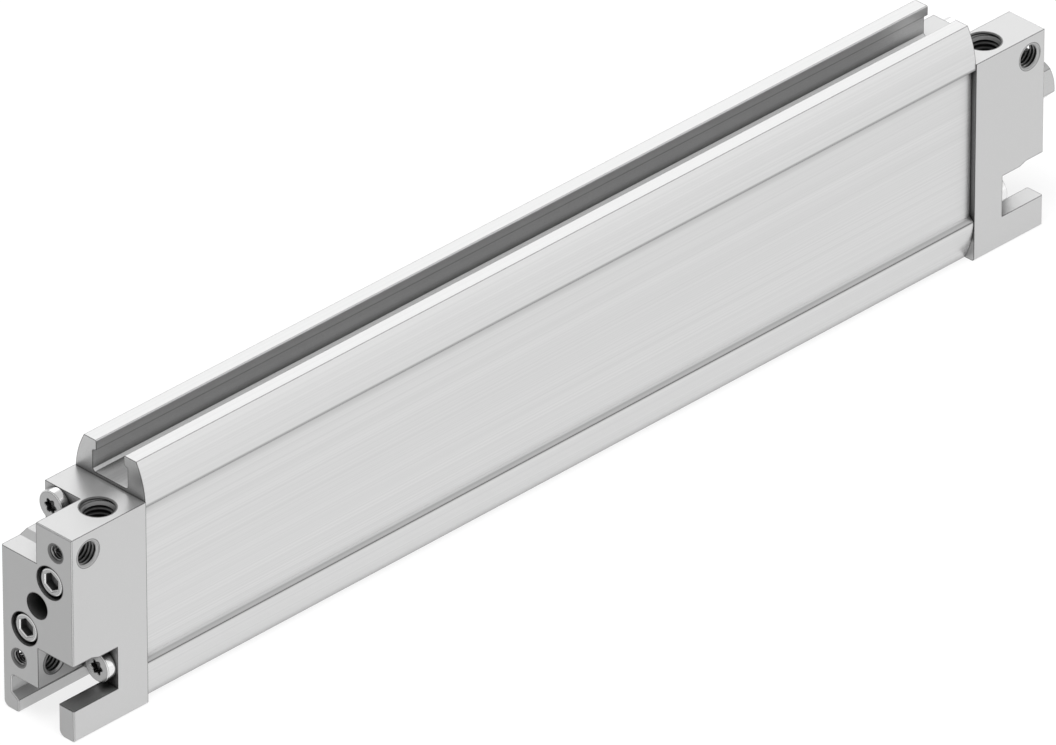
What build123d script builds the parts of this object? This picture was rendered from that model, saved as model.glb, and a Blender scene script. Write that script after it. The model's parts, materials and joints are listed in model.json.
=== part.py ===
"""Flat double-acting pneumatic cylinder with a stadium bore, in millimetres.

The origin is where the bore's centre axis meets the rear end face. +X runs along the
cylinder to the rod end, +Z is up and -Y is the side with the upper cross threads.
Every rear piece is drawn first. The front end mirrors it about the middle of the body.
"""

import os
from math import hypot, sqrt

from build123d import *

# Working sizes
stroke = 250.0
bore_width = 18.0  # across the two flat sides of the bore, along Y
bore_height = 41.0  # over the two round ends of the bore, along Z
rod_diameter = 8.0
end_play = 0.2  # between the piston and a buffer at the end of the stroke

# Clearances
seat_gap = 0.05  # between pieces that are fitted together and don't move
slide_gap = 0.05  # radial gap of the rod in its bushing
seal_gap = 0.15  # between a sliding seal and the bore
guide_gap = 0.1  # between the wear ring and the bore
piston_gap = 0.4  # between the piston's metal and the bore

# Barrel profile
profile_height = 74.5
ridge_width = 26.6  # over the two long ridges beside each panel
panel_width = 23.6  # over the two recessed side panels
panel_height = 46.2
panel_bevel = 1.3  # rise of the bevel from a panel to its ridge
lip_top_width = 19.9  # over the flat tops of the two slot lips
slot_step = 1.0  # rise of the mounting slot's floor above the top of the caps
slot_width = 13.4
slot_mouth = 10.6
lip_thickness = 2.9
lip_slope = 0.6  # fall of the lip's underside towards the slot wall
slot_corner = 0.7  # chamfer along the slot's floor
slot_mouth_break = 0.3  # chamfer along the slot's mouth

# End caps
cap_length = 27.5
cap_width = 27.0
cap_half_height = 26.25
cap_break = 0.3  # chamfer round a cap's end face
foot_gap = 15.4  # between the two feet under a cap
foot_undercut = 2.65  # how far the rear foot is hollowed behind its lip
foot_lip_height = 3.9
foot_lip_slope = 1.65
foot_height = 9.8
foot_round = 2.2
foot_small_round = 0.8
ceiling_round = 1.0
pocket_length = 16.4
pocket_floor = 13.4  # height of the screw pocket's floor above the axis
pocket_ramp_start = 6.9
pocket_ramp_end = 9.5
pocket_ramp_rise = 0.9
centring_diameter = 7.8
centring_depth = 12.0
thread_edge = 6.1  # of the cross thread from the end face, and the end thread from the side
thread_height = 19.75  # of the cross threads and end threads above and below the axis
cross_thread_diameter = 8.0
end_thread_diameter = 5.0
cross_thread_break = 0.15
end_thread_break = 0.35

# Air ports, one in each cap
port_diameter = 9.73
port_break = 0.3
port_distance = 16.9  # from the end face
port_edge = 7.4  # from the cap's side
air_channel_diameter = 3.0
air_channel_side = 3.0
air_channel_edge = 4.9  # below the top of the bore
channel_seal_thickness = 1.6
channel_groove_depth = 1.2

# Screws: two socket screws hold a plug to its cap, two lobed ones hold the cap to the barrel
screw_diameter = 5.0
screw_hole_diameter = 5.5
socket_head_diameter = 8.5
socket_head_height = 5.0
socket_screw_length = 30.0
socket_across_flats = 4.0
socket_recess_depth = 2.5
counterbore_diameter = 10.0
counterbore_depth = 5.5
socket_screw_wall = 1.5  # plug wall left beside the screw
socket_screw_drop = 2.1  # below the centre of the bore's round end
lobe_head_diameter = 9.0
lobe_head_height = 3.0
lobe_screw_length = 25.0
lobe_recess_diameter = 4.5
lobe_recess_depth = 1.8
lobe_screw_edge = 3.4  # from the panel's face
lobe_screw_drop = 5.65  # below the slot's floor
head_break = 0.4

# Plugs, seals and buffers inside the barrel
plug_length = 16.0
plug_thread_margin = 1.5  # tapped depth past the screw's tip
plug_groove_distance = 11.0  # from the cap to the seal groove
seal_width = 2.4
seal_depth = 2.0
buffer_thickness = 3.0
buffer_gap = 0.3
buffer_hole_gap = 0.6

# Rod guide in the front cap, from outside to inside
guide_diameter = 13.0
guide_depth = 21.2
wiper_length = 3.5
bushing_length = 12.0
rod_seal_length = 4.0
rod_hole_gap = 0.3
wiper_lip = 1.0
seal_cup_depth = 1.8
seal_cup_wall = 0.9

# Piston
piston_half_length = 11.3
magnet_length = 8.0
wear_ring_thickness = 1.4
piston_groove_distance = 4.6  # from the piston's outer face to its seal groove
core_diameter = 6.0  # rod tail inside the piston
core_seal_thickness = 1.3
nut_across_flats = 10.0
nut_height = 5.0
washer_diameter = 12.0
washer_thickness = 1.0
nut_pocket_diameter = 13.0

# Hexagon at the rod's front end
hex_across_flats = 11.75
hex_length = 11.0
hex_gap = 1.4  # from the front cap at rest
hex_turn = 15.0  # degrees
hex_chamfer_diameter = 11.0
hex_chamfer_fall = 0.8
rod_thread_diameter = 5.0
rod_thread_depth = 12.0
rod_thread_break = 0.3

# Places that follow from the sizes above
piston_length = 2 * piston_half_length + magnet_length
chamber_end = plug_length + buffer_thickness + end_play
profile_length = stroke + piston_length + 2 * chamber_end
body_length = profile_length + 2 * cap_length
profile_top = profile_height / 2
slot_floor = cap_half_height + slot_step
cap_side = cap_width / 2
bore_arc_height = (bore_height - bore_width) / 2
foot_side = foot_gap / 2
foot_top = foot_height - profile_top
socket_screw_side = bore_width / 2 - socket_screw_wall - screw_diameter / 2
socket_screw_height = bore_arc_height - socket_screw_drop
lobe_screw_side = panel_width / 2 - lobe_screw_edge
lobe_screw_height = slot_floor - lobe_screw_drop
end_thread_side = cap_side - thread_edge
port_side = cap_side - port_edge
air_channel_height = bore_height / 2 - air_channel_edge
port_depth = cap_half_height - air_channel_height + air_channel_diameter / 2
plug_end = cap_length + plug_length
buffer_end = plug_end + buffer_thickness
piston_start = buffer_end + end_play
piston_end = piston_start + piston_length
front_face_inside = cap_length + profile_length
hex_start = body_length + hex_gap
hex_end = hex_start + hex_length

# Directions in which a hole opens, as rotations about X, Y and Z
OPENS_REAR = (0, -90, 0)
OPENS_FRONT = (0, 90, 0)
OPENS_NEAR = (90, 0, 0)
OPENS_FAR = (-90, 0, 0)
OPENS_UP = (0, 0, 0)

middle_plane = Plane.YZ.offset(body_length / 2)


def cross_section(x):
    """Plane across the cylinder at x, with its own axes along +Y and +Z."""
    return Plane.YZ.offset(x)


def bore_outline(inset, mode=Mode.ADD):
    """Stadium shape of the bore, smaller by inset all round."""
    SlotOverall(bore_height - 2 * inset, bore_width - 2 * inset, rotation=90, mode=mode)


def opposite_pair(side, height):
    """Two places on a cross-section that change over by half a turn about the axis."""
    return Locations((side, height), (-side, -height))


def flat_ring(outer_inset, inner_inset, start, length):
    """Ring that follows the bore's outline."""
    with BuildPart() as ring:
        with BuildSketch(cross_section(start)):
            bore_outline(outer_inset)
            bore_outline(inner_inset, Mode.SUBTRACT)
        extrude(amount=length)
    return ring


def seal_groove(start):
    """Room for a seal round a plug or piston, from the outside down to the seal's inner face."""
    return flat_ring(-seat_gap, seal_depth + seat_gap, start, seal_width + 2 * seat_gap)


# Barrel: an extruded profile with two mounting slots and two screw channels
with BuildPart() as profile_barrel:
    with BuildSketch(cross_section(cap_length)):
        with BuildLine() as quarter:
            lip_underside = profile_top - lip_thickness
            ridge_side = ridge_width / 2
            ridge_start = panel_height / 2 + panel_bevel
            lip_reach = ridge_side - lip_top_width / 2
            lip_rise = profile_top - ridge_start
            side_radius = (lip_rise**2 + lip_reach**2) / (2 * lip_reach)
            side_middle = (
                ridge_side - side_radius + sqrt(side_radius**2 - (lip_rise / 2) ** 2),
                ridge_start + lip_rise / 2,
            )
            lower_line = Polyline(
                (0, 0),
                (panel_width / 2, 0),
                (panel_width / 2, panel_height / 2),
                (ridge_side, ridge_start),
            )
            ThreePointArc(lower_line @ 1, side_middle, (lip_top_width / 2, profile_top))
            Polyline(
                (lip_top_width / 2, profile_top),
                (slot_mouth / 2 + slot_mouth_break, profile_top),
                (slot_mouth / 2, profile_top - slot_mouth_break),
                (slot_mouth / 2, lip_underside),
                (slot_width / 2, lip_underside - lip_slope),
                (slot_width / 2, slot_floor + slot_corner),
                (slot_width / 2 - slot_corner, slot_floor),
                (0, slot_floor),
                (0, 0),
            )
        make_face()
        mirror(about=Plane.YZ)
        mirror(about=Plane.XZ)
        bore_outline(0, Mode.SUBTRACT)
        with opposite_pair(lobe_screw_side, lobe_screw_height):
            Circle(screw_diameter / 2 + seat_gap, mode=Mode.SUBTRACT)
    extrude(amount=profile_length)


def broken_hole(diameter, break_size, depth):
    """Hole with a small chamfer round its mouth."""
    CounterSinkHole(diameter / 2, diameter / 2 + break_size, depth, counter_sink_angle=90)


def end_cap_body():
    """Rear end cap with all that both caps have. The section's half turn repeats its features."""
    foot_bottom = -profile_top
    undercut_side = foot_side + foot_undercut
    foot_lip_top = foot_bottom + foot_lip_height
    with BuildPart() as cap:
        with BuildSketch(cross_section(0)):
            with BuildLine():
                FilletPolyline(
                    (-cap_side, cap_half_height),
                    (cap_side, cap_half_height),
                    (cap_side, foot_bottom),
                    (foot_side, foot_bottom),
                    (foot_side, foot_lip_top),
                    (undercut_side, foot_lip_top + foot_lip_slope),
                    (undercut_side, -cap_half_height),
                    (-foot_side, -cap_half_height),
                    (-foot_side, foot_bottom),
                    (-cap_side, foot_bottom),
                    radius=[
                        0,
                        0,
                        foot_round,
                        foot_small_round,
                        0,
                        0,
                        ceiling_round,
                        ceiling_round,
                        foot_round,
                        foot_small_round,
                    ],
                    close=True,
                )
            make_face()
        extrude(amount=cap_length)
        chamfer(cap.faces().sort_by(Axis.X)[0].edges(), cap_break)

        # Pocket above and behind, notch below and in front, each with a small ramp in its wall
        for side, limit in ((1, cap_half_height + cap_break), (-1, -foot_top)):
            with BuildSketch(Plane.XZ):
                with BuildLine():
                    Polyline(
                        (0, side * pocket_floor),
                        (pocket_ramp_start, side * pocket_floor),
                        (pocket_ramp_end, side * (pocket_floor + pocket_ramp_rise)),
                        (pocket_length, side * (pocket_floor + pocket_ramp_rise)),
                        (pocket_length, side * limit),
                        (0, side * limit),
                        close=True,
                    )
                make_face()
            extrude(amount=-side * cap_width, mode=Mode.SUBTRACT)

        # Socket screws' counterbores and the lobed screws' holes
        hole_length = 2 * cap_length
        with Locations(Location((0, 0, 0), OPENS_REAR)):
            with opposite_pair(socket_screw_height, -socket_screw_side):
                CounterBoreHole(
                    screw_hole_diameter / 2, counterbore_diameter / 2, counterbore_depth, hole_length
                )
            with opposite_pair(lobe_screw_height, lobe_screw_side):
                Hole(screw_hole_diameter / 2, hole_length)

        # Cross threads, end threads that meet them, and the port with its air channel
        for side, opens in ((-1, OPENS_NEAR), (1, OPENS_FAR)):
            cross_place = Location((thread_edge, side * cap_side, -side * thread_height), opens)
            end_place = Location((0, side * end_thread_side, -side * thread_height), OPENS_REAR)
            with Locations(cross_place):
                broken_hole(cross_thread_diameter, cross_thread_break, cap_side)
            with Locations(end_place):
                broken_hole(end_thread_diameter, end_thread_break, thread_edge)
        with Locations(Location((port_distance, -port_side, cap_half_height), OPENS_UP)):
            broken_hole(port_diameter, port_break, port_depth)
        with BuildSketch(cross_section(port_distance)):
            with Locations((-air_channel_side, air_channel_height)):
                Circle(air_channel_diameter / 2)
        extrude(amount=cap_length - port_distance, mode=Mode.SUBTRACT)
    return cap


# Rear cap: a blind centring bore in the end face
with BuildPart() as rear_end_cap:
    add(end_cap_body().part)
    with Locations(Location((0, 0, 0), OPENS_REAR)):
        Hole(centring_diameter / 2, centring_depth)

# Front cap: the mirror image, with the rod's passage and the guide's bore instead
with BuildPart() as front_end_cap:
    mirror(end_cap_body().part, about=middle_plane)
    with BuildSketch(cross_section(front_face_inside)):
        Circle(guide_diameter / 2 + seat_gap)
    extrude(amount=guide_depth, mode=Mode.SUBTRACT)
    with BuildSketch(cross_section(front_face_inside)):
        Circle(rod_diameter / 2 + rod_hole_gap)
    extrude(amount=cap_length, mode=Mode.SUBTRACT)


def screw_pair(side, height, face, head_diameter, head_height, length):
    """Two cylinder-head screws along +X with plain shanks. face is where the heads begin."""
    with BuildPart() as screws:
        with BuildSketch(cross_section(face)):
            with opposite_pair(side, height):
                Circle(head_diameter / 2)
        extrude(amount=head_height)
        chamfer(screws.edges().filter_by(GeomType.CIRCLE).group_by(Axis.X)[0], head_break)
        with BuildSketch(cross_section(face + head_height)):
            with opposite_pair(side, height):
                Circle(screw_diameter / 2)
        extrude(amount=length)
    return screws


# Socket screws: cap to plug, with a hexagon recess
socket_head_face = counterbore_depth - socket_head_height
with BuildPart() as rear_socket_screws:
    add(
        screw_pair(
            -socket_screw_side,
            socket_screw_height,
            socket_head_face,
            socket_head_diameter,
            socket_head_height,
            socket_screw_length,
        ).part
    )
    with BuildSketch(cross_section(socket_head_face)):
        with opposite_pair(-socket_screw_side, socket_screw_height):
            RegularPolygon(socket_across_flats / 2, 6, major_radius=False)
    extrude(amount=socket_recess_depth, mode=Mode.SUBTRACT)

# Lobed screws: cap to barrel, with a six-lobe recess
lobe_head_face = pocket_length - lobe_head_height
with BuildPart() as rear_lobe_screws:
    add(
        screw_pair(
            lobe_screw_side,
            lobe_screw_height,
            lobe_head_face,
            lobe_head_diameter,
            lobe_head_height,
            lobe_screw_length,
        ).part
    )
    with BuildSketch(cross_section(lobe_head_face)):
        with opposite_pair(lobe_screw_side, lobe_screw_height):
            for turn in (0, 60):
                RegularPolygon(lobe_recess_diameter / 2, 3, rotation=turn)
    extrude(amount=lobe_recess_depth, mode=Mode.SUBTRACT)


def end_plug():
    """Rear plug: fills the bore's end, with tapped holes, a seal groove and the air channel."""
    tapped_depth = socket_screw_length + counterbore_depth - cap_length + plug_thread_margin
    channel_seal_radius = air_channel_diameter / 2 + channel_seal_thickness + seat_gap
    with BuildPart() as plug:
        with BuildSketch(cross_section(cap_length)):
            bore_outline(seat_gap)
        extrude(amount=plug_length)
        with BuildSketch(cross_section(cap_length)):
            with opposite_pair(-socket_screw_side, socket_screw_height):
                Circle(screw_diameter / 2 + seat_gap)
        extrude(amount=tapped_depth, mode=Mode.SUBTRACT)
        with BuildSketch(cross_section(cap_length)):
            with Locations((-air_channel_side, air_channel_height)):
                Circle(air_channel_diameter / 2)
        extrude(amount=plug_length, mode=Mode.SUBTRACT)
        with BuildSketch(cross_section(cap_length)):
            with Locations((-air_channel_side, air_channel_height)):
                Circle(channel_seal_radius)
        extrude(amount=channel_groove_depth, mode=Mode.SUBTRACT)
        add(seal_groove(cap_length + plug_groove_distance).part, mode=Mode.SUBTRACT)
    return plug


rear_end_plug = end_plug()

# Front plug: the mirror image, with a hole for the rod
with BuildPart() as front_end_plug:
    mirror(end_plug().part, about=middle_plane)
    with BuildSketch(cross_section(front_face_inside)):
        Circle(rod_diameter / 2 + rod_hole_gap)
    extrude(amount=-plug_length, mode=Mode.SUBTRACT)

rear_plug_seal = flat_ring(
    2 * seat_gap, seal_depth, cap_length + plug_groove_distance + seat_gap, seal_width
)

# Small ring that seals the air channel between cap and plug
with BuildPart() as rear_channel_seal:
    with BuildSketch(cross_section(cap_length)):
        with Locations((-air_channel_side, air_channel_height)):
            Circle(air_channel_diameter / 2 + channel_seal_thickness)
            Circle(air_channel_diameter / 2, mode=Mode.SUBTRACT)
    extrude(amount=channel_groove_depth)

# Rubber buffer on the plug, with holes for the rod and the air
with BuildPart() as rear_buffer:
    with BuildSketch(cross_section(plug_end)):
        bore_outline(buffer_gap)
        Circle(rod_diameter / 2 + buffer_hole_gap, mode=Mode.SUBTRACT)
        with Locations((-air_channel_side, air_channel_height)):
            Circle(air_channel_diameter / 2, mode=Mode.SUBTRACT)
    extrude(amount=buffer_thickness)


def front_copy(rear_piece):
    """The same piece at the front end."""
    with BuildPart() as piece:
        mirror(rear_piece.part, about=middle_plane)
    return piece


# Rod guide: wiper, bushing, lip seal and washer, in that order behind the rod's passage
guide_bottom = front_face_inside + guide_depth
wiper_start = guide_bottom - wiper_length
bushing_start = wiper_start - bushing_length
rod_seal_start = bushing_start - rod_seal_length
rod_radius = rod_diameter / 2
guide_radius = guide_diameter / 2

with BuildPart() as rod_wiper:
    with BuildSketch(Plane.XZ):
        with BuildLine():
            Polyline(
                (wiper_start, rod_radius + rod_hole_gap),
                (wiper_start, guide_radius),
                (guide_bottom, guide_radius),
                (guide_bottom, rod_radius + slide_gap),
                (guide_bottom - wiper_lip, rod_radius + slide_gap),
                close=True,
            )
        make_face()
    revolve(axis=Axis.X)

with BuildPart() as rod_bushing:
    with BuildSketch(cross_section(bushing_start)):
        Circle(guide_radius)
        Circle(rod_radius + slide_gap, mode=Mode.SUBTRACT)
    extrude(amount=bushing_length)

with BuildPart() as rod_seal:
    with BuildSketch(Plane.XZ):
        with BuildLine():
            Polyline(
                (rod_seal_start, rod_radius + slide_gap),
                (rod_seal_start, rod_radius + slide_gap + seal_cup_wall),
                (rod_seal_start + seal_cup_depth, (rod_radius + guide_radius) / 2),
                (rod_seal_start, guide_radius - seal_cup_wall),
                (rod_seal_start, guide_radius),
                (bushing_start, guide_radius),
                (bushing_start, rod_radius + slide_gap),
                close=True,
            )
        make_face()
    revolve(axis=Axis.X)

with BuildPart() as seal_washer:
    with BuildSketch(cross_section(front_face_inside)):
        Circle(guide_radius)
        Circle(rod_radius + rod_hole_gap, mode=Mode.SUBTRACT)
    extrude(amount=rod_seal_start - front_face_inside)

# Piston: two halves with a magnet plate between them, clamped on the rod's tail by a nut
magnet_start = piston_start + piston_half_length
magnet_end = magnet_start + magnet_length
magnet_inset = guide_gap + wear_ring_thickness + seat_gap
core_radius = core_diameter / 2
nut_pocket_depth = washer_thickness + nut_height + seat_gap


def piston_half(start, groove_start):
    """One half of the piston, with its seal groove and the hole for the rod's tail."""
    with BuildPart() as half:
        with BuildSketch(cross_section(start)):
            bore_outline(piston_gap)
            Circle(core_radius + seat_gap, mode=Mode.SUBTRACT)
        extrude(amount=piston_half_length)
        add(seal_groove(groove_start).part, mode=Mode.SUBTRACT)
    return half


rear_groove = piston_start + piston_groove_distance - seat_gap
front_groove = piston_end - piston_groove_distance - seal_width - seat_gap

with BuildPart() as piston_rear_half:
    add(piston_half(piston_start, rear_groove).part)
    with BuildSketch(cross_section(piston_start)):
        Circle(nut_pocket_diameter / 2)
    extrude(amount=nut_pocket_depth, mode=Mode.SUBTRACT)

with BuildPart() as piston_front_half:
    add(piston_half(magnet_end, front_groove).part)
    with BuildSketch(cross_section(magnet_end)):
        Circle(core_radius + core_seal_thickness + seat_gap)
    extrude(amount=core_seal_thickness, mode=Mode.SUBTRACT)

with BuildPart() as piston_magnet:
    with BuildSketch(cross_section(magnet_start)):
        bore_outline(magnet_inset)
        Circle(core_radius + seat_gap, mode=Mode.SUBTRACT)
    extrude(amount=magnet_length)

piston_wear_ring = flat_ring(guide_gap, guide_gap + wear_ring_thickness, magnet_start, magnet_length)
rear_piston_seal = flat_ring(seal_gap, seal_depth, rear_groove + seat_gap, seal_width)
front_piston_seal = flat_ring(seal_gap, seal_depth, front_groove + seat_gap, seal_width)

with BuildPart() as piston_core_seal:
    with BuildSketch(cross_section(magnet_end)):
        Circle(core_radius + core_seal_thickness)
        Circle(core_radius + seat_gap, mode=Mode.SUBTRACT)
    extrude(amount=core_seal_thickness)

washer_start = piston_start + nut_height + seat_gap
with BuildPart() as piston_washer:
    with BuildSketch(cross_section(washer_start)):
        Circle(washer_diameter / 2)
        Circle(core_radius + seat_gap, mode=Mode.SUBTRACT)
    extrude(amount=washer_thickness)

with BuildPart() as piston_nut:
    with BuildSketch(cross_section(piston_start + seat_gap)):
        RegularPolygon(nut_across_flats / 2, 6, major_radius=False)
        Circle(core_radius + seat_gap, mode=Mode.SUBTRACT)
    extrude(amount=nut_height)

# Piston rod: one turned piece, with a wrench hexagon and a thread at the front end
with BuildPart() as piston_rod:
    with BuildSketch(cross_section(hex_start)):
        RegularPolygon(hex_across_flats / 2, 6, major_radius=False, rotation=hex_turn)
    extrude(amount=hex_length)
    corner_radius = hypot(hex_across_flats / 2, hex_across_flats / (2 * sqrt(3)))
    with BuildSketch(Plane.XZ):
        with BuildLine():
            Polyline(
                (hex_start, 0),
                (hex_start, corner_radius),
                (hex_end - hex_chamfer_fall, corner_radius),
                (hex_end, hex_chamfer_diameter / 2),
                (hex_end, 0),
                close=True,
            )
        make_face()
    revolve(axis=Axis.X, mode=Mode.INTERSECT)
    with BuildSketch(cross_section(piston_end)):
        Circle(rod_radius)
    extrude(amount=hex_start - piston_end)
    with BuildSketch(cross_section(piston_start + seat_gap)):
        Circle(core_radius)
    extrude(amount=piston_length - seat_gap)
    with Locations(Location((hex_end, 0, 0), OPENS_FRONT)):
        Hole(rod_thread_diameter / 2, rod_thread_depth)
    thread_rim = piston_rod.edges().filter_by(GeomType.CIRCLE).group_by(Axis.X)[-1].sort_by(SortBy.RADIUS)
    chamfer(thread_rim[0], rod_thread_break)

pieces = {
    "profile_barrel": profile_barrel,
    "rear_end_cap": rear_end_cap,
    "front_end_cap": front_end_cap,
    "rear_lobe_screws": rear_lobe_screws,
    "front_lobe_screws": front_copy(rear_lobe_screws),
    "rear_socket_screws": rear_socket_screws,
    "front_socket_screws": front_copy(rear_socket_screws),
    "rear_end_plug": rear_end_plug,
    "front_end_plug": front_end_plug,
    "rear_plug_seal": rear_plug_seal,
    "front_plug_seal": front_copy(rear_plug_seal),
    "rear_channel_seal": rear_channel_seal,
    "front_channel_seal": front_copy(rear_channel_seal),
    "rear_buffer": rear_buffer,
    "front_buffer": front_copy(rear_buffer),
    "rod_wiper": rod_wiper,
    "rod_bushing": rod_bushing,
    "rod_seal": rod_seal,
    "seal_washer": seal_washer,
    "piston_rod": piston_rod,
    "piston_rear_half": piston_rear_half,
    "piston_front_half": piston_front_half,
    "piston_magnet": piston_magnet,
    "piston_wear_ring": piston_wear_ring,
    "rear_piston_seal": rear_piston_seal,
    "front_piston_seal": front_piston_seal,
    "piston_core_seal": piston_core_seal,
    "piston_washer": piston_washer,
    "piston_nut": piston_nut,
}

os.makedirs("parts", exist_ok=True)
for name, piece in pieces.items():
    piece.part.label = name
    export_step(piece.part, f"parts/{name}.step")
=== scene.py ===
"""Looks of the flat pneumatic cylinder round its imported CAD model, in metres.

The CAD nodes stay where they are and get their finishes here. The threads and the screws are
finer than in the CAD model, so they are drawn here as meshes.
"""

import json
from collections import namedtuple
from math import cos, pi, radians, sin, tau

import bmesh
import bpy
from mathutils import Matrix, Vector


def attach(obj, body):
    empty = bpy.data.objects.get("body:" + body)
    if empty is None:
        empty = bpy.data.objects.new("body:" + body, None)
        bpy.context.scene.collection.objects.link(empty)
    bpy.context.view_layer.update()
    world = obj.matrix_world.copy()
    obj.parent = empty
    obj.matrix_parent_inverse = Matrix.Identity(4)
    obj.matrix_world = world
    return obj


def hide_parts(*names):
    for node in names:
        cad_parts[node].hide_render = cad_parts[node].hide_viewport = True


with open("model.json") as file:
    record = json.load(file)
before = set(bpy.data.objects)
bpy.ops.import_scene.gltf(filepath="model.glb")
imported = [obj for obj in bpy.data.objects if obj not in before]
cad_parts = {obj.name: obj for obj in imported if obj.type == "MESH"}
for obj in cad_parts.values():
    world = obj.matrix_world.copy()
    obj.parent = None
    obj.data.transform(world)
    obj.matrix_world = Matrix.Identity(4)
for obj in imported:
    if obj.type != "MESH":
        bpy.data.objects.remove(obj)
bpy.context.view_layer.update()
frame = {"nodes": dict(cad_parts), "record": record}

MM = 0.001

# Sizes that repeat the CAD model's, in millimetres
BODY_LENGTH = 374.0
BASE_HEIGHT = -37.25
CAP_SIDE = 13.5
CAP_TOP = 26.25
THREAD_EDGE = 6.1
THREAD_HEIGHT = 19.75
END_THREAD_SIDE = 7.4
PORT_DISTANCE = 16.9
PORT_SIDE = 6.1
LOBE_DISTANCE = 13.4
LOBE_SIDE = 8.4
LOBE_HEIGHT = 21.6
SOCKET_DISTANCE = 0.5
SOCKET_SIDE = -5.0
SOCKET_HEIGHT = 9.4
HEX_END = 386.4


# ---------------------------------------------------------------- camera

VIEW_AZIMUTH = radians(45.186)
VIEW_ELEVATION = radians(31.773)
VIEW_DISTANCE = 5.158
VIEW_AIM = Vector((182.62, -2.23, -6.33)) * MM
SENSOR_WIDTH = 36.0
LENS = 648.0


def make_camera():
    """Long lens from the rear end, above the near side."""
    back = Vector((
        -sin(VIEW_AZIMUTH) * cos(VIEW_ELEVATION),
        -cos(VIEW_AZIMUTH) * cos(VIEW_ELEVATION),
        sin(VIEW_ELEVATION),
    ))
    data = bpy.data.cameras.new("camera")
    data.sensor_width = SENSOR_WIDTH
    data.lens = LENS
    data.clip_start, data.clip_end = 0.1, 100.0
    camera = bpy.data.objects.new("camera", data)
    camera.location = VIEW_AIM + back * VIEW_DISTANCE
    camera.rotation_euler = (-back).to_track_quat("-Z", "Y").to_euler()
    bpy.context.collection.objects.link(camera)
    bpy.context.scene.camera = camera


# ---------------------------------------------------------------- shader helpers

OCCLUSION_SAMPLES = 8


def ranged(tree, value, low, high, at_low, at_high):
    """value, mapped from low..high to at_low..at_high and kept between them."""
    node = tree.nodes.new("ShaderNodeMapRange")
    for socket, number in (("From Min", low), ("From Max", high), ("To Min", at_low), ("To Max", at_high)):
        node.inputs[socket].default_value = number
    tree.links.new(value, node.inputs["Value"])
    return node.outputs["Result"]


def calculated(tree, operation, *values):
    """Result of a math node."""
    node = tree.nodes.new("ShaderNodeMath")
    node.operation = operation
    for value, socket in zip(values, node.inputs):
        tree.links.new(value, socket)
    return node.outputs[0]


def parts_of(tree, vector):
    """X, Y and Z of a vector."""
    node = tree.nodes.new("ShaderNodeSeparateXYZ")
    tree.links.new(vector, node.inputs["Vector"])
    return node.outputs


def occlusion(tree, reach, inside=False):
    """How open the surface is within a reach in millimetres, or how thick the piece is under it."""
    node = tree.nodes.new("ShaderNodeAmbientOcclusion")
    node.inside = inside
    node.samples = OCCLUSION_SAMPLES
    node.inputs["Distance"].default_value = reach * MM
    return node.outputs["AO"]


# ---------------------------------------------------------------- studio

SKY_STARTS, SKY_FULL = 0.1, 0.45  # heights of a view direction over which the world turns greyer
FLOOR_HALF = 6.0  # metres
FLOOR_GAP = 0.02  # millimetres
FLOOR_WHITENESS = 0.8  # share of plain white in the floor that the camera sees


def seen_as(tree, seen, lit, above=None):
    """Colour that is one grey for the camera and for gloss, and another as a light source.
    above is the first grey's value higher than the horizon, in a world."""
    path = tree.nodes.new("ShaderNodeLightPath")
    shown = path.outputs["Is Camera Ray"]
    for other in ("Is Glossy Ray", "Is Transmission Ray"):
        shown = calculated(tree, "MAXIMUM", shown, path.outputs[other])
    mix = tree.nodes.new("ShaderNodeMix")
    mix.data_type = "RGBA"
    mix.inputs["A"].default_value = (lit, lit, lit, 1)
    mix.inputs["B"].default_value = (seen, seen, seen, 1)
    tree.links.new(shown, mix.inputs["Factor"])
    if above is not None:
        direction = tree.nodes.new("ShaderNodeTexCoord")
        height = parts_of(tree, direction.outputs["Generated"])["Z"]
        tree.links.new(ranged(tree, height, SKY_STARTS, SKY_FULL, seen, above), mix.inputs["B"])
    return mix.outputs["Result"]


def make_world():
    bpy.context.scene.view_settings.view_transform = "Standard"
    world = bpy.data.worlds.new("studio")
    world.use_nodes = True
    tree = world.node_tree
    tree.links.new(seen_as(tree, 1.0, 0.43, above=0.72), tree.nodes["Background"].inputs["Color"])
    bpy.context.scene.world = world


def make_floor():
    """Plain pale floor under the barrel's slot lips."""
    mesh = bpy.data.meshes.new("floor")
    half, z = FLOOR_HALF, (BASE_HEIGHT - FLOOR_GAP) * MM
    corners = [(-half, -half, z), (half, -half, z), (half, half, z), (-half, half, z)]
    mesh.from_pydata(corners, [], [(0, 1, 2, 3)])
    floor = bpy.data.objects.new("floor", mesh)
    bpy.context.collection.objects.link(floor)
    material = bpy.data.materials.new("floor")
    material.use_nodes = True
    tree = material.node_tree
    shader = tree.nodes["Principled BSDF"]
    shader.inputs["Base Color"].default_value = (0.9, 0.9, 0.9, 1)
    shader.inputs["Roughness"].default_value = 0.9
    shader.inputs["Specular IOR Level"].default_value = 0.0
    white = tree.nodes.new("ShaderNodeEmission")
    mix = tree.nodes.new("ShaderNodeMixShader")
    tree.links.new(seen_as(tree, FLOOR_WHITENESS, 0.0), mix.inputs["Fac"])
    tree.links.new(shader.outputs["BSDF"], mix.inputs[1])
    tree.links.new(white.outputs["Emission"], mix.inputs[2])
    tree.links.new(mix.outputs["Shader"], tree.nodes["Material Output"].inputs["Surface"])
    mesh.materials.append(material)


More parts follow.
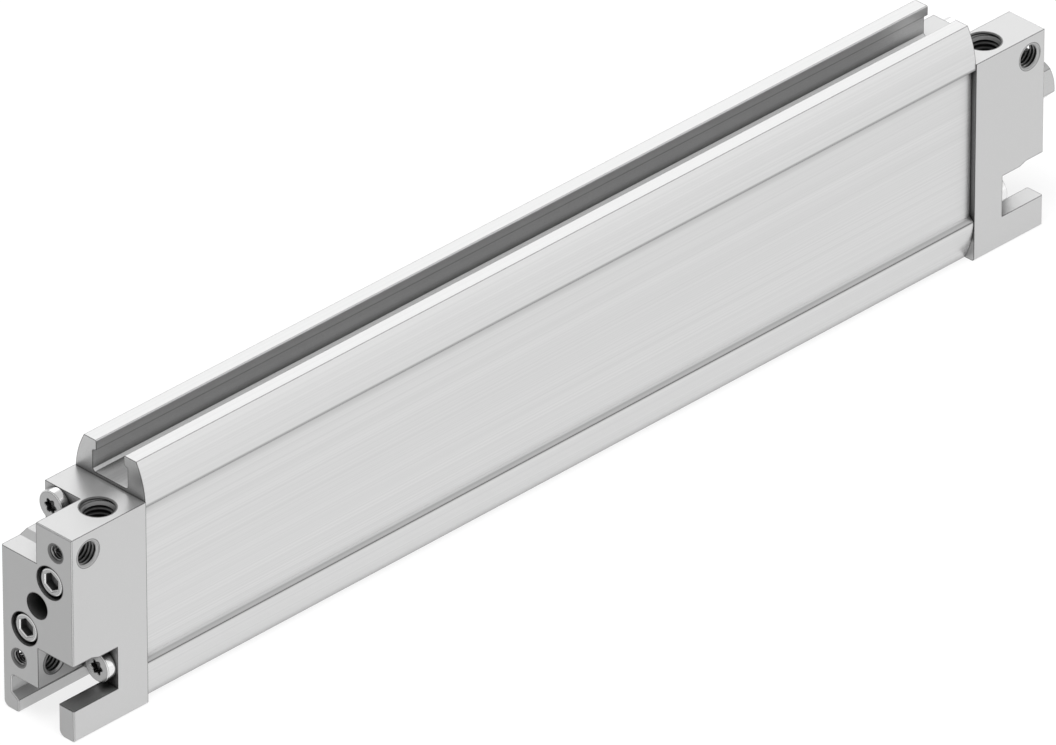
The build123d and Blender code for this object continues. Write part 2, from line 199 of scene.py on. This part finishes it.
def make_lamp(name, place, size, power, in_gloss=True):
    """Square soft lamp that faces the middle of the cylinder. in_gloss is whether shiny surfaces show it."""
    data = bpy.data.lights.new(name, "AREA")
    data.shape = "SQUARE"
    data.size = size
    data.energy = power
    lamp = bpy.data.objects.new(name, data)
    lamp.location = place
    lamp.rotation_euler = (VIEW_AIM - Vector(place)).to_track_quat("-Z", "Y").to_euler()
    lamp.visible_glossy = in_gloss
    bpy.context.collection.objects.link(lamp)


# ---------------------------------------------------------------- finishes, with painted shade

FLOOR_REACH = 10.0  # height over which the floor would paint corner shade on the feet, in millimetres
FLOOR_FADE = 0.6  # share of that height that it would darken in full
EDGE_REACH = 0.22  # how far the painted dark line along a sharp edge reaches, in millimetres
NOISE_RANGE = (0.3, 0.7)  # most values of a noise
NOISE_DETAIL = 5.0
GLOSS_SWING = 0.04  # of the roughness
END_FACE = (0.9, 0.99)  # size of the normal's X, from not an end face to an end face
CORNER_RANGE = (0.2, 0.72)  # occlusion, from a deep corner to an open face
EDGE_RANGE = (0.86, 0.97)  # occlusion inside the metal, from a sharp edge to a flat face


def corner_shade(tree, height, facing_end, crevice, end_crevice, reach, deepest):
    """Painted shade: brightness that falls in corners, but not for being near the floor."""
    openness = ranged(tree, occlusion(tree, reach), *CORNER_RANGE, deepest, 1.0)
    low = BASE_HEIGHT * MM
    near_floor = ranged(tree, height, low + FLOOR_FADE * FLOOR_REACH * MM, low + FLOOR_REACH * MM, 1.0, 0.0)
    rate = ranged(tree, facing_end, *END_FACE, crevice, end_crevice)
    return calculated(tree, "POWER", calculated(tree, "MAXIMUM", openness, near_floor), rate)


def band_shade(tree, height, bands):
    """Painted shade: brightness by height."""
    low, high = bands[0][0], bands[-1][0]
    ramp = tree.nodes.new("ShaderNodeValToRGB")
    stops = ramp.color_ramp.elements
    while len(stops) < len(bands):
        stops.new(0.5)
    for stop, (place, value) in zip(stops, bands):
        stop.position = (place - low) / (high - low)
        stop.color = (value, value, value, 1)
    tree.links.new(ranged(tree, height, low * MM, high * MM, 0.0, 1.0), ramp.inputs["Fac"])
    return ramp.outputs["Color"]


def finish_of(
    name, colour, metallic, roughness, grain, variation,
    crevice=0.0, end_crevice=0.0, reach=4.0, deepest=0.0, edge=1.0, end_shade=1.0, bands=(),
):
    """Material whose colour and gloss vary with a noise. grain is the noise's scale along X, Y and Z.

    crevice is how fast painted shade darkens it in corners, and end_crevice the same for end faces.
    reach is how far away the surfaces that shut a corner in may be, in millimetres. deepest keeps the
    deepest corners from black. edge and end_shade are how bright it stays under the painted dark line
    along sharp edges and under the painted shade on the end faces, which get less light. bands are
    pairs of height in millimetres and brightness of painted shade, joined by straight lines."""
    material = bpy.data.materials.new(name)
    material.use_nodes = True
    tree = material.node_tree
    shader = tree.nodes["Principled BSDF"]
    shader.inputs["Metallic"].default_value = metallic
    where = tree.nodes.new("ShaderNodeTexCoord")
    surface = tree.nodes.new("ShaderNodeNewGeometry")
    height = parts_of(tree, where.outputs["Object"])["Z"]
    facing_end = calculated(tree, "ABSOLUTE", parts_of(tree, surface.outputs["True Normal"])["X"])

    stretch = tree.nodes.new("ShaderNodeMapping")
    stretch.inputs["Scale"].default_value = grain
    tree.links.new(where.outputs["Object"], stretch.inputs["Vector"])
    noise = tree.nodes.new("ShaderNodeTexNoise")
    noise.inputs["Scale"].default_value = 1.0
    noise.inputs["Detail"].default_value = NOISE_DETAIL
    tree.links.new(stretch.outputs["Vector"], noise.inputs["Vector"])
    grains = noise.outputs["Fac"]
    gloss = ranged(tree, grains, *NOISE_RANGE, roughness - GLOSS_SWING, roughness + GLOSS_SWING)
    tree.links.new(gloss, shader.inputs["Roughness"])

    shades = [ranged(tree, grains, *NOISE_RANGE, 1 - variation, 1 + variation)]
    # painted shade in corners
    if crevice:
        shades.append(corner_shade(tree, height, facing_end, crevice, end_crevice, reach, deepest))
    # a painted dark line along sharp edges
    if edge < 1:
        shades.append(ranged(tree, occlusion(tree, EDGE_REACH, inside=True), *EDGE_RANGE, edge, 1.0))
    # painted shade on the end faces, which get less light
    if end_shade < 1:
        shades.append(ranged(tree, facing_end, *END_FACE, 1.0, end_shade))
    # painted shade in bands by height
    if bands:
        shades.append(band_shade(tree, height, bands))
    brightness = shades[0]
    for shade in shades[1:]:
        brightness = calculated(tree, "MULTIPLY", brightness, shade)
    shaded = tree.nodes.new("ShaderNodeVectorMath")
    shaded.operation = "SCALE"
    shaded.inputs[0].default_value = colour
    tree.links.new(brightness, shaded.inputs["Scale"])
    tree.links.new(shaded.outputs["Vector"], shader.inputs["Base Color"])
    return material


def grey(value):
    return (value, value, value)


# ---------------------------------------------------------------- meshes

MERGE_DISTANCE = 1e-5  # millimetres


def mesh_object(name, bm, place):
    """Object from a bmesh drawn in millimetres, with its own z axis along the hole or screw."""
    bmesh.ops.remove_doubles(bm, verts=bm.verts, dist=MERGE_DISTANCE)
    bmesh.ops.dissolve_degenerate(bm, edges=bm.edges, dist=MERGE_DISTANCE)
    bmesh.ops.recalc_face_normals(bm, faces=bm.faces)
    mesh = bpy.data.meshes.new(name)
    bm.to_mesh(mesh)
    bm.free()
    mesh.transform(Matrix.Scale(MM, 4) @ place)
    made = bpy.data.objects.new(name, mesh)
    bpy.context.collection.objects.link(made)
    return made


def facing(point, direction):
    """Placement at a point in millimetres, with z along a direction."""
    return Matrix.Translation(point) @ Vector(direction).to_track_quat("Z", "Y").to_matrix().to_4x4()


# ---------------------------------------------------------------- threads

ROUND_STEPS = 48
PITCH_STEPS = 16
FLAT_AT_ROOT = 1 / 8  # of the pitch
FLAT_AT_CREST = 1 / 4
SLEEVE_WALL = 0.03  # of a thread's sleeve inside the metal round its hole's chamfer, in millimetres
FLUSH = 0.01  # of a mouth under the surface round it, in millimetres
MIDDLE_GAP = 0.03  # by which a cross thread ends short of the cap's middle, in millimetres
CUTTER_SEGMENTS = 64
CUT_MARGIN = 1.0  # by which a cut begins outside the metal, in millimetres

# Radii, pitch, length and the hole's chamfer in millimetres, and the countersink: how much wider
# than the major radius it is, the depth at which it begins, and how fast its radius falls
Thread = namedtuple("Thread", "major minor pitch length chamfer wider plain slope")
THREADS = {
    "port": Thread(4.865, 4.05, 1.5, 8.3, 0.3, 0.2, 0.4, 0.58),
    "cross": Thread(4.0, 3.32, 1.25, CAP_SIDE - MIDDLE_GAP, 0.15, -0.2, 0.0, 0.9),
    "end": Thread(2.5, 2.07, 0.8, 4.3, 0.35, 0.1, 0.0, 0.9),
    "rod": Thread(2.5, 2.07, 0.8, 11.3, 0.3, 0.05, 0.0, 0.9),
}


def thread_profile(fraction, major, minor):
    """Radius of an inner thread at a fraction of its pitch."""
    flank = (1 - FLAT_AT_ROOT - FLAT_AT_CREST) / 2
    if fraction < FLAT_AT_ROOT:
        rise = 0
    elif fraction < FLAT_AT_ROOT + flank:
        rise = (fraction - FLAT_AT_ROOT) / flank
    elif fraction < FLAT_AT_ROOT + flank + FLAT_AT_CREST:
        rise = 1
    else:
        rise = (1 - fraction) / flank
    return major + (minor - major) * rise


def thread_sleeve(name, place, kind):
    """Ring with a helical inner thread under a countersink, from z = 0 down to its length. It fills
    the chamfer of the CAD model's hole. Faces above the thread have the second material."""
    major, minor, pitch, length, chamfer, wider, plain, slope = THREADS[kind]
    turns = int(length / pitch) + 3
    outer = major + chamfer + SLEEVE_WALL
    thread_start = plain + (wider + major - minor) / slope
    bm = bmesh.new()
    columns, top, bottom = [], [], []
    for step in range(ROUND_STEPS + 1):
        lead = step / ROUND_STEPS
        across, along = cos(tau * lead), sin(tau * lead)
        column = []
        for row in range(turns * PITCH_STEPS):
            height = (row / PITCH_STEPS - 1 + lead) * pitch
            depth = min(max(height, 0), length)
            radius = thread_profile((depth / pitch - lead) % 1.0, major, minor)
            radius = max(radius, major + wider - max(depth - plain, 0) * slope)
            column.append(bm.verts.new((radius * across, radius * along, -depth)))
        columns.append(column)
        top.append(bm.verts.new((outer * across, outer * along, 0)))
        bottom.append(bm.verts.new((outer * across, outer * along, -length)))
    for step in range(ROUND_STEPS):
        here, there = columns[step], columns[step + 1]
        for row in range(len(here) - 1):
            face = bm.faces.new((here[row], there[row], there[row + 1], here[row + 1]))
            face.material_index = int(face.calc_center_median().z > -thread_start)
        bm.faces.new((top[step], top[step + 1], there[0], here[0])).material_index = 1
        bm.faces.new((top[step + 1], top[step], bottom[step], bottom[step + 1]))
        bm.faces.new((here[-1], there[-1], bottom[step + 1], bottom[step]))
    thread = mesh_object(name, bm, place)
    for finish in THREAD_FINISHES[kind]:
        thread.data.materials.append(FINISHES[finish])
    return thread


def cut_across(sleeve, point, direction, radius, length):
    """Takes a round hole out of a sleeve, from a point in millimetres along a direction."""
    bm = bmesh.new()
    bmesh.ops.create_cone(
        bm, cap_ends=True, segments=CUTTER_SEGMENTS, radius1=radius, radius2=radius, depth=length
    )
    middle = Vector(point) + Vector(direction) * length / 2
    cutter = mesh_object("cutter", bm, facing(middle, direction))
    cut = sleeve.modifiers.new("cut", "BOOLEAN")
    cut.operation = "DIFFERENCE"
    cut.solver = "EXACT"
    cut.object = cutter
    shown = sleeve.evaluated_get(bpy.context.evaluated_depsgraph_get())
    sleeve.data = bpy.data.meshes.new_from_object(shown)
    sleeve.modifiers.clear()
    bpy.data.objects.remove(cutter)


def cap_threads(end, mirrored):
    """All threads of one end cap. A front piece mirrors a rear one about the middle of the body."""
    def x(distance):
        return BODY_LENGTH - distance if mirrored else distance
    outward, inward = ((1, 0, 0), (-1, 0, 0)) if mirrored else ((-1, 0, 0), (1, 0, 0))
    port_place = facing((x(PORT_DISTANCE), -PORT_SIDE, CAP_TOP - FLUSH), (0, 0, 1))
    made = [thread_sleeve(end + "_port_thread", port_place, "port")]
    for name, side in (("upper", -1), ("lower", 1)):
        height = -side * THREAD_HEIGHT
        cross_place = facing((x(THREAD_EDGE), side * (CAP_SIDE - FLUSH), height), (0, side, 0))
        cross = thread_sleeve(f"{end}_{name}_cross_thread", cross_place, "cross")
        cut_across(
            cross, (x(-CUT_MARGIN), side * END_THREAD_SIDE, height), inward,
            THREADS["end"].major, THREAD_EDGE + CUT_MARGIN,
        )
        tapped_place = facing((x(FLUSH), side * END_THREAD_SIDE, height), outward)
        tapped = thread_sleeve(f"{end}_{name}_end_thread", tapped_place, "end")
        cut_across(tapped, (x(THREAD_EDGE), 0, height), (0, side, 0), THREADS["cross"].major, CAP_SIDE)
        made += [cross, tapped]
    for thread in made:
        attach(thread, "barrel")


def rod_end_thread():
    thread = thread_sleeve("rod_end_thread", facing((HEX_END - FLUSH, 0, 0), (1, 0, 0)), "rod")
    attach(thread, "rod")


# ---------------------------------------------------------------- screws

TURN_STEPS = 96
SHANK_RADIUS = 2.5

LOBED_HEAD_RADIUS = 4.5
LOBED_HEAD_HEIGHT = 3.0
LOBED_SHANK_LENGTH = 25.0
LOBE_RADIUS = 1.92  # middle of the six lobes' radius
LOBE_WAVE = 0.32

SOCKET_HEAD_RADIUS = 4.25
SOCKET_HEAD_HEIGHT = 5.0
SOCKET_SHANK_LENGTH = 30.0
HEXAGON_HALF = 2.35  # half across the flats
HEXAGON_MOUTH = 2.7


def around(radius):
    return lambda angle: radius


def lobed(radius):
    return lambda angle: radius + LOBE_WAVE * cos(6 * angle)


def hexagon(half_across):
    return lambda angle: half_across / cos((angle + pi / 6) % (pi / 3) - pi / 6)


LOBED_SCREW = [  # height and outline of each ring, from the bottom of the recess to the end of the shank
    (-2.1, around(0.9)),
    (-1.7, lobed(LOBE_RADIUS)),
    (-0.12, lobed(LOBE_RADIUS)),
    (0.0, lobed(LOBE_RADIUS + 0.12)),
    (0.0, around(LOBED_HEAD_RADIUS - 0.3)),
    (-0.3, around(LOBED_HEAD_RADIUS)),
    (-LOBED_HEAD_HEIGHT, around(LOBED_HEAD_RADIUS)),
    (-LOBED_HEAD_HEIGHT, around(SHANK_RADIUS)),
    (-LOBED_HEAD_HEIGHT - LOBED_SHANK_LENGTH, around(SHANK_RADIUS)),
]
SOCKET_SCREW = [
    (-3.1, around(0.5)),
    (-2.5, hexagon(HEXAGON_HALF)),
    (-0.4, hexagon(HEXAGON_HALF)),
    (0.0, hexagon(HEXAGON_MOUTH)),
    (0.0, around(SOCKET_HEAD_RADIUS - 0.6)),
    (-0.12, around(SOCKET_HEAD_RADIUS - 0.25)),
    (-0.5, around(SOCKET_HEAD_RADIUS)),
    (-SOCKET_HEAD_HEIGHT, around(SOCKET_HEAD_RADIUS)),
    (-SOCKET_HEAD_HEIGHT, around(SHANK_RADIUS)),
    (-SOCKET_HEAD_HEIGHT - SOCKET_SHANK_LENGTH, around(SHANK_RADIUS)),
]


def add_screw(bm, place, rings):
    """Screw with its head's face at z = 0. Faces in its recess have the second material."""
    made = []
    mouth = [z for z, outline in rings].index(0.0)
    for z, outline in rings:
        ring = []
        for step in range(TURN_STEPS):
            angle = tau * step / TURN_STEPS
            radius = outline(angle)
            ring.append(bm.verts.new(place @ Vector((radius * cos(angle), radius * sin(angle), z))))
        made.append(ring)
    for row, (inner, outer) in enumerate(zip(made, made[1:])):
        for step in range(TURN_STEPS):
            after = (step + 1) % TURN_STEPS
            face = bm.faces.new((inner[step], inner[after], outer[after], outer[step]))
            face.material_index = int(row < mouth - 1)
    bm.faces.new(made[0]).material_index = 1
    bm.faces.new(reversed(made[-1]))


def screw_pair(name, replaced, mirrored, rings, distance, side, height):
    """Two screws on opposite sides of the axis, that take the place of a CAD node."""
    bm = bmesh.new()
    face = BODY_LENGTH - distance if mirrored else distance
    for sign in (1, -1):
        place = facing((face, sign * side, sign * height), (1 if mirrored else -1, 0, 0))
        add_screw(bm, place, rings)
    screws = mesh_object(name, bm, Matrix.Identity(4))
    for finish in ("screw_steel", "recess"):
        screws.data.materials.append(FINISHES[finish])
    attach(screws, "barrel")
    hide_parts(replaced)


# ---------------------------------------------------------------- studio and finishes in use

make_camera()
make_world()
make_floor()
# Mirrored in metal that faces up, the key would fill it with white for a viewer above
make_lamp("key", (-0.4, -0.5, 2.9), 1.8, 105.0, in_gloss=False)
make_lamp("front", (1.55, -1.85, 1.0), 2.0, 4.0)
make_lamp("back", (2.1, 1.95, 1.75), 1.8, 8.8)

DRAWN = (2.0, 2400, 2400)  # grain in lines along the extrusion
EVEN = (2500, 2500, 2500)
# Painted shade for the milled caps, the extruded barrel and the turned screws: in corners, on end faces and
# along sharp edges
MILLED_PAINTED_SHADE = dict(crevice=0.85, end_crevice=3.0, reach=10.0, deepest=0.2, edge=0.3)
# Painted shade by height: darker towards the underside, dark lines along both edges of the lower ledge and a
# darker band on it, and a soft shade under the upper one
BARREL_PAINTED_SHADE = (
    (-37.25, 0.72), (-36.0, 0.86), (-34.5, 1.0), (-24.9, 1.0), (-24.75, 0.7), (-24.6, 0.35), (-24.4, 0.35),
    (-24.25, 0.82), (-23.85, 0.82), (-23.75, 0.6), (-23.6, 0.6), (-23.4, 1.0), (20.9, 1.0), (22.6, 0.85),
    (23.6, 0.68), (24.9, 0.55), (25.0, 0.75), (25.3, 1.0),
)
EXTRUDED_PAINTED_SHADE = dict(crevice=1.95, end_crevice=2.0, reach=8.0, edge=0.25, bands=BARREL_PAINTED_SHADE)
TURNED_PAINTED_SHADE = dict(crevice=1.0, end_crevice=0.8, edge=0.3)
FINISHES = {
    name: finish_of(name, colour, metallic, roughness, grain, variation, **rest)
    for name, colour, metallic, roughness, grain, variation, rest in (
        # the CAD model's material slots
        ("barrel_aluminium", grey(0.64), 0.9, 0.35, DRAWN, 0.055, EXTRUDED_PAINTED_SHADE | dict(end_shade=0.75)),
        ("cap_aluminium", grey(0.56), 0.9, 0.35, EVEN, 0.02, MILLED_PAINTED_SHADE | dict(end_shade=0.69)),
        ("inner_aluminium", grey(0.5), 0.9, 0.35, EVEN, 0.02, MILLED_PAINTED_SHADE),
        ("screw_steel", grey(0.8), 1.0, 0.2, EVEN, 0.03, TURNED_PAINTED_SHADE | dict(end_shade=0.46)),
        ("rod_steel", grey(0.52), 1.0, 0.22, DRAWN, 0.02, dict(edge=0.4)),
        ("bushing_bronze", (0.55, 0.36, 0.16), 1.0, 0.35, EVEN, 0.05, {}),
        ("seal_rubber", grey(0.02), 0.0, 0.5, EVEN, 0.1, {}),
        ("buffer_rubber", grey(0.03), 0.0, 0.6, EVEN, 0.1, {}),
        ("magnet", grey(0.06), 0.3, 0.5, EVEN, 0.1, {}),
        ("guide_plastic", (0.75, 0.72, 0.62), 0.0, 0.45, EVEN, 0.05, {}),
        # threads, their mouths and the screws' recesses, whose darker greys are painted shade in the holes
        # and their mouths
        ("mouth", grey(0.27), 0.9, 0.45, EVEN, 0.02, dict(crevice=0.6, end_crevice=0.6)),
        ("tapped", grey(0.3), 0.9, 0.32, EVEN, 0.03, dict(crevice=1.3, end_crevice=1.3)),
        ("deep_tapped", grey(0.16), 0.9, 0.4, EVEN, 0.03, dict(crevice=1.0, end_crevice=1.0)),
        ("wide_mouth", grey(0.42), 0.9, 0.4, EVEN, 0.02, dict(crevice=0.4, end_crevice=0.4)),
        ("small_mouth", grey(0.14), 0.9, 0.4, EVEN, 0.02, dict(crevice=0.6, end_crevice=0.6)),
        ("recess", grey(0.2), 0.9, 0.45, EVEN, 0.03, dict(crevice=0.6, end_crevice=0.4)),
    )
}
THREAD_FINISHES = {  # of the thread itself and of its mouth
    "port": ("deep_tapped", "mouth"),
    "cross": ("tapped", "wide_mouth"),
    "end": ("tapped", "small_mouth"),
    "rod": ("tapped", "mouth"),
}

for part in frame["record"]["subparts"]:
    mesh = frame["nodes"][part["node"]].data
    mesh.materials.clear()
    mesh.materials.append(FINISHES[part["material_slot"]])

for end, mirrored in (("rear", False), ("front", True)):
    cap_threads(end, mirrored)
    screw_pair(
        end + "_lobed_screws", end + "_lobe_screws", mirrored,
        LOBED_SCREW, LOBE_DISTANCE, LOBE_SIDE, LOBE_HEIGHT,
    )
    screw_pair(
        end + "_hexagon_screws", end + "_socket_screws", mirrored,
        SOCKET_SCREW, SOCKET_DISTANCE, SOCKET_SIDE, SOCKET_HEIGHT,
    )
rod_end_thread()
